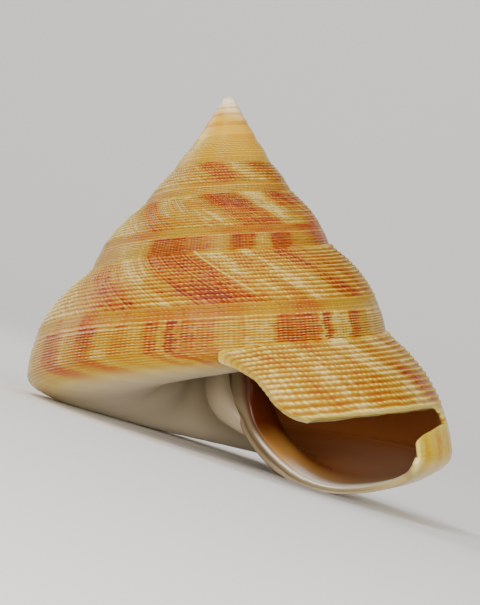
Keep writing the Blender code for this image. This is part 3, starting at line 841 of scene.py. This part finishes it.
def paint_shell(colours):
    """The finish of the whole shell: bars, beads, band, pearly underside and brown hollow, with
    painted shade between the beads, in the crease, below the band and deep in the hollow, and
    painted highlights on the beads and the lip's ridge.
    """
    finish = Finish("shell_finish")
    age, turn, share = finish.mark("age"), finish.mark("turn"), finish.mark("share")
    underside, cord, bead = finish.mark("underside"), finish.mark("cord"), finish.mark("bead")
    hollow, edge, bar = finish.mark("hollow"), finish.mark("edge"), finish.mark("bar")
    place = finish.node("ShaderNodeTexCoord", output="Object")

    # Slow and quick noise, and a value of its own for each bead and each cord.
    wander = finish.noise(place, WANDER_SCALE) - 0.5
    cloud = finish.noise(place, CLOUD_SCALE, 3.0) - 0.5
    row = (cord + 0.5).floor()
    spread = finish.each(finish.vector(row, (bead + 0.5).floor())) - 0.5
    row_shift = finish.each(finish.vector(row, 0.0, 3.0)) - 0.5

    # Masks: the slit's band, the side below it, the plain wall by the lip and the beads' tops.
    in_band = share.rising(*BAND_TOP) * share.falling(*BAND_FOOT)
    off_band = 1.0 - in_band
    is_lower = share.rising(*LOWER_SIDE)
    lip_wall = turn.rising(*LIP_WALL_TURNS) * share.rising(0.76, 0.80)
    fine_crest = 0.5 - 0.5 * (cord * (2.0 * math.pi)).cosine()
    wide_crest = 0.5 + 0.5 * ((cord - 0.5) * math.pi).cosine()
    crest = fine_crest + (wide_crest - fine_crest) * turn.falling(*SECOND_CORDS)
    knob = 0.5 + 0.5 * (bead * (2.0 * math.pi)).cosine()
    below_seam = share.rising(0.0, 0.03)
    raised = crest * (1.0 - (1.0 - knob) * (0.4 - is_lower * 0.2)) * below_seam

    # The bars' tones, then growth marks, patches, lines and grain on them. The beads' tops come out
    # paler and the grooves deeper: partly their own colour, partly painted highlight and shade.
    shifted_age = age + wander * 0.010 + row_shift * 0.006 + cloud * 0.03
    shifted_turn = bar + wander * 0.014 + row_shift * 0.005 + cloud * 0.012
    upper = finish.bars(shifted_age, UPPER_BARS)
    lower = finish.bars(shifted_turn, LOWER_BARS) + LOW_BARS_DARKER
    band = finish.bars(turn + wander * 0.004, BAND_BARS) + LOW_BARS_DARKER
    tone = upper + (lower - upper) * is_lower
    tone = tone + (band - tone) * in_band
    marks = finish.noise(finish.vector(age * 250.0, share * 3.0), 1.0) - 0.5
    patches = finish.noise(finish.vector(age * 13.0, share * 3.5, 7.0), 1.0) - 0.5
    lines = (age * (2.0 * math.pi * LINES_PER_TURN)).cosine() * upper.rising(0.5, 0.8)
    texture = (spread * 0.34 + row_shift * 0.16) * (1.0 - in_band * 0.7)
    texture = texture * (1.0 - lip_wall * 0.85) + cloud * (0.22 + is_lower * 0.5)
    texture = texture + marks * 1.1 * (1.0 - is_lower * 0.6) * (1.0 - in_band * 0.7)
    texture = texture + patches * 0.9 * (1.0 - is_lower * 0.5)
    # Paler on the beads' tops and deeper between them: partly their own colour, partly painted
    # highlight and shade.
    texture = texture + (0.34 - raised) * 0.24 * off_band * (1.0 - lip_wall * 0.9)
    texture = texture - (lines + 0.2) * 0.18 * (1.0 - is_lower) * off_band
    tone = (tone - BAR_MIDDLE) * BAR_CONTRAST + BAR_MIDDLE + texture
    tone = tone + (0.22 + cloud * 1.1 + spread * 0.2 - tone) * turn.falling(*PLAIN_TURNS)
    tone = tone * (1.0 - age.near(SCAR_AT, SCAR_WIDTH * 1.3) * share.falling(0.52, 0.56))
    tone = tone + (0.14 - tone) * (edge * 0.7)

    # The side's colours, with its paler tip.
    stops = [
        (0.0, colours.white), (0.22, colours.cream), (0.44, colours.straw),
        (0.62, colours.ochre), (0.79, colours.orange), (0.93, colours.red), (1.0, colours.brown),
    ]
    skin = finish.ramp(tone.clamped(), stops)
    height = finish.node("ShaderNodeSeparateXYZ", {}, {"Vector": place}, "Z") + cloud * 0.004
    point = finish.mix(height.rising(*TIP_HEIGHT), colours.apex, colours.tip)
    skin = finish.mix(height.rising(*APEX_HEIGHT), skin, point)

    # The underside: bars that fade into pearl, the greyer funnel, the lip's rim, and painted shade
    # in the crease beside the lip's ridge.
    streak = finish.noise(finish.vector(turn * 60.0, underside * 0.35), 1.0, 3.0) - 0.5
    base_tone = lower * (1.0 - underside.rising(1.5, 6.0) * 0.8) * (1.0 - edge * 0.85)
    base_skin = finish.ramp((base_tone + streak * 0.2).clamped(), stops)
    pearl = finish.mix((cloud * 1.6 + 0.5).clamped(), colours.pearl, colours.pearl_shade)
    pearl = finish.mix(underside.rising(*FUNNEL_PLACES), pearl, colours.funnel)
    base_skin = finish.mix(underside.rising(1.8, 6.5), base_skin, pearl)
    on_rim = edge.rising(0.25, 0.7) * underside.rising(1.0, 3.0)
    base_skin = finish.tint(on_rim, base_skin, colours.rim)
    # Painted shade in the crease beside the lip's ridge.
    crease_shade = hollow.near(0.30, 0.16) * underside.rising(3.5, 6.0) * on_rim
    base_skin = finish.tint(crease_shade * 0.8, base_skin, colours.crease_shade)
    skin = finish.mix(underside.rising(0.0, 0.3), skin, base_skin)
    # Painted shade: a near-white tint darkens the side from the band down onto the underside's
    # edge, away from the lip.
    lower_side_shade = share.rising(*BAND_TOP) * underside.falling(1.0, 4.5) * turn.falling(-0.15, -0.02)
    skin = finish.tint(lower_side_shade, skin, colours.lower_side_shade)

    # The hollow: pale near the lip, brown deeper in and darkest by the pillar, partly its own brown
    # and partly painted shade; then a painted highlight along the lip's ridge.
    depth = LIP_TURN - age
    sheen = finish.noise(finish.vector(turn * 5.0, underside * 1.3), 1.0, 3.0) - 0.5
    # Painted shade, in part: the hollow turns from gold to darker amber deeper in, with noise.
    dark = (depth.rising(0.01, 0.12) + sheen * 0.9).clamped()
    lining = finish.mix(dark, colours.gold, colours.amber)
    # Painted shade, in part: darkest umber by the pillar, deep in the hollow.
    by_pillar = depth.rising(0.01, 0.10) * underside.rising(6.5, 9.5) + underside.rising(8.5, 11.0)
    lining = finish.mix(by_pillar.clamped(), lining, colours.umber)
    pale = underside.near(3.5, 4.5) * depth.falling(0.05, 0.36) * 0.6
    lining = finish.mix(pale, lining, colours.pearl_shade)
    lining = finish.mix(edge * underside.falling(7.5, 9.0) * 0.8, lining, colours.rim)
    skin = finish.mix(hollow.rising(0.62, 0.97), skin, lining)
    # Painted highlight: a pale pearly line along the lip's ridge.
    ridge = hollow.near(0.66, 0.15) * underside.rising(4.5, 6.5) * underside.falling(9.5, 11.0)
    skin = finish.mix(ridge, skin, colours.ridge)

    # Painted shade between the beads, where their colour is darkened and deepened, and painted
    # highlights mixed onto their tops.
    outside = underside.falling(0.0, 3.0) * (1.0 - hollow) * (1.0 - lip_wall * 0.92)
    grown = outside * turn.rising(*GROOVED_TURNS)
    # Painted shade: the groove colour darkens and deepens the colour between the beads.
    groove_shade = (1.0 - raised) * below_seam * grown * (1.0 - in_band * 0.6) * (1.0 - is_lower * 0.3)
    skin = finish.tint(groove_shade * 0.85, skin, colours.groove_shade)
    # Painted highlight: a pale colour mixed onto the beads' tops, stronger on some beads than
    # others.
    glint = raised.rising(0.62, 1.0) * (0.34 + spread * 0.9) * grown * (1.0 - in_band * 0.5)
    skin = finish.mix(glint.clamped(), skin, colours.glint)

    threads = finish.noise(finish.vector(turn * 30.0, cord * 3.0), 1.0)
    bumped = outside * (1.0 - is_lower * 0.5) * turn.rising(*BUMPED_TURNS)
    return finish.finished({
        "Base Color": skin,
        "Roughness": 0.28 - underside.rising(0.5, 4.0) * 0.06,
        "Specular IOR Level": 0.18,
        "Coat Weight": 0.06,
        "Coat Roughness": 0.12,
        "Normal": finish.bump(BUMP_STRENGTH, BUMP_DISTANCE, (raised + threads * 0.35) * bumped),
    })


# The photograph's frame, and where its camera stands against the tip of the upright coil.
FRAME_WIDTH = 480
FRAME_HEIGHT = 605
PIXEL = 0.22 * MM
TIP_PIXEL = (229.26, 94.99)
CAMERA_DISTANCE = 3000
CAMERA_ROLL = math.radians(1.97)
CAMERA_RISE = math.radians(2.4)
CAMERA_REACH = (0.05, 10.0)
SENSOR = 36.0


def aim_camera():
    """A camera at the photograph's viewing angle, rolled because the shell leans as it rests."""
    rise, roll = CAMERA_RISE, CAMERA_ROLL
    ahead = Vector((0.0, math.cos(rise), math.sin(rise)))
    level, over = Vector((1.0, 0.0, 0.0)), Vector((0.0, -math.sin(rise), math.cos(rise)))
    right = math.cos(roll) * level + math.sin(roll) * over
    up = math.cos(roll) * over - math.sin(roll) * level
    stand = (right * (FRAME_WIDTH / 2.0 - TIP_PIXEL[0]) + up * (TIP_PIXEL[1] - FRAME_HEIGHT / 2.0)
             - ahead * CAMERA_DISTANCE) * PIXEL
    data = bpy.data.cameras.new("photo_camera")
    data.sensor_fit = "HORIZONTAL"
    data.sensor_width = SENSOR
    data.lens = SENSOR * CAMERA_DISTANCE / FRAME_WIDTH
    data.clip_start, data.clip_end = CAMERA_REACH
    camera = bpy.data.objects.new("photo_camera", data)
    bpy.context.scene.collection.objects.link(camera)
    turned = Matrix((right, up, -ahead)).transposed()
    camera.matrix_world = Matrix.Translation(LEAN @ stand + TIP_AT) @ (LEAN @ turned).to_4x4()
    bpy.context.scene.camera = camera


def new_object(name, bm, material):
    """An object at the origin that takes over a finished bmesh."""
    mesh = bpy.data.meshes.new(name)
    bm.to_mesh(mesh)
    bm.free()
    mesh.materials.append(material)
    obj = bpy.data.objects.new(name, mesh)
    bpy.context.scene.collection.objects.link(obj)
    return obj


# Soft lights: name, place, what it faces, its two sides, its power in watts and its colour.
MIDDLE = (0.0, 0.0, 0.035)
LIGHTS = (
    ("key", (-0.35, -0.55, 0.65), MIDDLE, (0.34, 0.28), 4.2, (1.0, 0.97, 0.93)),
    ("front", (0.10, -0.90, 0.30), MIDDLE, (0.6, 0.4), 2.0, (1.0, 0.98, 0.95)),
    ("fill", (0.65, -0.45, 0.30), MIDDLE, (0.6, 0.5), 2.2, (0.95, 0.97, 1.0)),
    ("top", (0.0, 0.15, 0.80), MIDDLE, (0.6, 0.6), 2.0, (1.0, 1.0, 1.0)),
    ("side", (-0.58, 0.32, 0.28), MIDDLE, (0.3, 0.5), 3.4, (1.0, 0.98, 0.95)),
    ("low", (-0.10, -0.75, 0.10), MIDDLE, (0.8, 0.15), 5.0, (1.0, 0.98, 0.95)),
    ("wall", (0.0, 0.7, 1.3), (0.0, 2.1, 0.6), (2.4, 0.8), 24.0, (1.0, 1.0, 1.0)),
)
AIR_COLOUR = (0.8, 0.82, 0.85, 1.0)
AIR_STRENGTH = 0.27


def add_light(name, place, target, size, power, colour):
    data = bpy.data.lights.new(name, "AREA")
    data.shape = "RECTANGLE"
    data.size, data.size_y = size
    data.energy = power
    data.color = colour
    light = bpy.data.objects.new(name, data)
    light.location = place
    light.rotation_euler = (Vector(target) - Vector(place)).to_track_quat("-Z", "Y").to_euler()
    bpy.context.scene.collection.objects.link(light)


def build_backdrop(stage):
    """A pale sweep: a level floor that curves up into a wall behind."""
    bm = bmesh.new()
    bmesh.ops.create_grid(bm, x_segments=8, y_segments=60, size=0.5)
    for vertex in bm.verts:
        along = (vertex.co.y + 0.5) * (stage.floor_depth + stage.sweep * math.pi / 2 + stage.wall)
        bend = (along - stage.floor_depth) / stage.sweep
        if bend <= 0.0:
            y, z = along, 0.0
        elif bend <= math.pi / 2:
            y = stage.floor_depth + stage.sweep * math.sin(bend)
            z = stage.sweep * (1.0 - math.cos(bend))
        else:
            y = stage.floor_depth + stage.sweep
            z = stage.sweep + (bend - math.pi / 2) * stage.sweep
        vertex.co = (vertex.co.x * stage.width, y - stage.floor_front, z)
    for face in bm.faces:
        face.smooth = True
    finish = Finish("backdrop_paper")
    grain = finish.noise(finish.node("ShaderNodeTexCoord", output="Object"), 900.0, 3.0)
    paper = finish.finished({
        "Base Color": (*stage.paper, 1.0), "Roughness": 0.85,
        "Normal": finish.bump(0.05, 0.2 * MM, grain)})
    return new_object("backdrop", bm, paper)


def length_property(name, description, length):
    return bpy.props.FloatProperty(
        name=name, description=description, default=length, unit="LENGTH")


def colour_property(name, description, colour):
    return bpy.props.FloatVectorProperty(
        name=name, description=description, default=linear(*colour), size=3, subtype="COLOR",
        min=0.0, max=1.0)


class ShellSizes(bpy.types.PropertyGroup):
    """Sizes of the shell's surface detail."""

    cord_height: length_property("Cord height", "Half the height of the spiral cords", 0.16 * MM)
    bead_height: length_property("Bead height", "Half the height of the beads on a cord", 0.12 * MM)
    scar_height: length_property("Scar height", "Height of the old lip's white line", 0.25 * MM)
    fillet: length_property("Fillet", "How far the side swells to fill the seam above", 0.45 * MM)
    fold_height: length_property("Fold height", "Height of the folds in the funnel", 0.5 * MM)
    rim_reach: length_property("Rim reach", "How far the lip's edge may stand forward", 1.2 * MM)
    edge_fade: length_property("Edge fade", "How far the lip's cream edge reaches", 0.8 * MM)


class ShellColours(bpy.types.PropertyGroup):
    """Colours of the shell."""

    white: colour_property("White", "Palest bars and growth marks", (234, 216, 132))
    cream: colour_property("Cream", "Ground colour", (202, 172, 44))
    straw: colour_property("Straw", "Light yellow bars", (198, 158, 6))
    ochre: colour_property("Ochre", "Yellow-brown bars", (192, 132, 0))
    orange: colour_property("Orange", "Orange bars", (188, 104, 0))
    red: colour_property("Red", "Orange-red flames", (178, 76, 0))
    brown: colour_property("Red-brown", "Darkest flames", (150, 54, 0))
    # Painted shade: this colour darkens and deepens the colour between the beads.
    groove_shade: colour_property("Groove", "Stain between the beads", (188, 132, 22))
    pearl: colour_property("Pearl", "Polished underside", (232, 216, 190))
    pearl_shade: colour_property("Pearl shade", "Greyer parts of the underside", (214, 198, 168))
    # The hollow's colours: gold near the lip, then amber and umber deeper in and by the pillar,
    # partly its own brown and partly painted shade.
    gold: colour_property("Gold", "Hollow near the lip", (184, 134, 66))
    amber: colour_property("Amber", "Depth of the hollow", (186, 112, 58))
    umber: colour_property("Umber", "Hollow beside the pillar", (88, 36, 10))
    # Painted highlight: the pale colour mixed onto the beads' tops.
    glint: colour_property("Glint", "Polished tops of the beads", (240, 216, 112))
    # Painted shade: a near-white tint that darkens the side below the band.
    lower_side_shade: colour_property("Stain", "Warmer cast of the side below the band", (234, 222, 200))
    funnel: colour_property("Funnel", "Walls of the hollow under the axis", (168, 152, 124))
    # Painted shade for the crease beside the lip's ridge.
    rim: colour_property("Rim", "Lip's rounded edge on the underside", (210, 202, 190))
    crease_shade: colour_property("Crease", "Groove beside the lip's ridge", (176, 166, 140))
    # Painted highlight along the lip's ridge.
    ridge: colour_property("Ridge", "Pearly line along the lip's ridge", (250, 244, 228))
    apex: colour_property("Apex", "First turns", (212, 164, 44))
    tip: colour_property("Tip", "Very tip", (238, 218, 178))


class StageSizes(bpy.types.PropertyGroup):
    """Sizes and colour of the studio."""

    width: length_property("Width", "Width of the backdrop", 6.0)
    floor_depth: length_property("Floor", "Depth of the level floor", 2.6)
    floor_front: length_property("Front", "How far the floor reaches in front", 1.4)
    sweep: length_property("Sweep", "Radius of the bend into the wall", 0.9)
    wall: length_property("Wall", "Height of the wall above the bend", 1.5)
    paper: colour_property("Paper", "Colour of the backdrop", (232, 230, 226))


class OBJECT_OT_slit_shell(bpy.types.Operator):
    """Build the shell in place of its plain solid"""

    bl_idname = "object.slit_shell"
    bl_label = "Slit shell"

    def execute(self, context):
        scene = context.scene
        shell = new_object(
            "shell", build_shell(scene.shell_sizes), paint_shell(scene.shell_colours))
        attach(shell, "root")
        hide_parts("slit_shell")
        return {"FINISHED"}


class OBJECT_OT_slit_shell_stage(bpy.types.Operator):
    """Set up the pale backdrop, the soft lights and the camera"""

    bl_idname = "object.slit_shell_stage"
    bl_label = "Studio"

    def execute(self, context):
        build_backdrop(context.scene.shell_stage)
        for light in LIGHTS:
            add_light(*light)
        world = bpy.data.worlds.new("studio_air")
        world.use_nodes = True
        air = world.node_tree.nodes["Background"].inputs
        air["Color"].default_value = AIR_COLOUR
        air["Strength"].default_value = AIR_STRENGTH
        context.scene.world = world
        aim_camera()
        return {"FINISHED"}


class VIEW3D_PT_slit_shell(bpy.types.Panel):
    """Lists the shell's sizes, colours and steps"""

    bl_idname = "VIEW3D_PT_slit_shell"
    bl_label = "Slit shell"
    bl_space_type = "VIEW_3D"
    bl_region_type = "UI"
    bl_category = "Slit shell"

    def draw(self, context):
        scene = context.scene
        for group in (scene.shell_sizes, scene.shell_colours, scene.shell_stage):
            box = self.layout.box()
            for name in group.bl_rna.properties.keys():
                if name not in {"rna_type", "name"}:
                    box.prop(group, name)
        for operator in (OBJECT_OT_slit_shell, OBJECT_OT_slit_shell_stage):
            self.layout.operator(operator.bl_idname)


CLASSES = (ShellSizes, ShellColours, StageSizes, OBJECT_OT_slit_shell, OBJECT_OT_slit_shell_stage,
           VIEW3D_PT_slit_shell)


def register():
    for cls in CLASSES:
        bpy.utils.register_class(cls)
    bpy.types.Scene.shell_sizes = bpy.props.PointerProperty(type=ShellSizes)
    bpy.types.Scene.shell_colours = bpy.props.PointerProperty(type=ShellColours)
    bpy.types.Scene.shell_stage = bpy.props.PointerProperty(type=StageSizes)


def unregister():
    del bpy.types.Scene.shell_stage
    del bpy.types.Scene.shell_colours
    del bpy.types.Scene.shell_sizes
    for cls in reversed(CLASSES):
        bpy.utils.unregister_class(cls)


def main():
    register()
    bpy.ops.object.slit_shell()
    bpy.ops.object.slit_shell_stage()


if __name__ == "__main__":
    main()
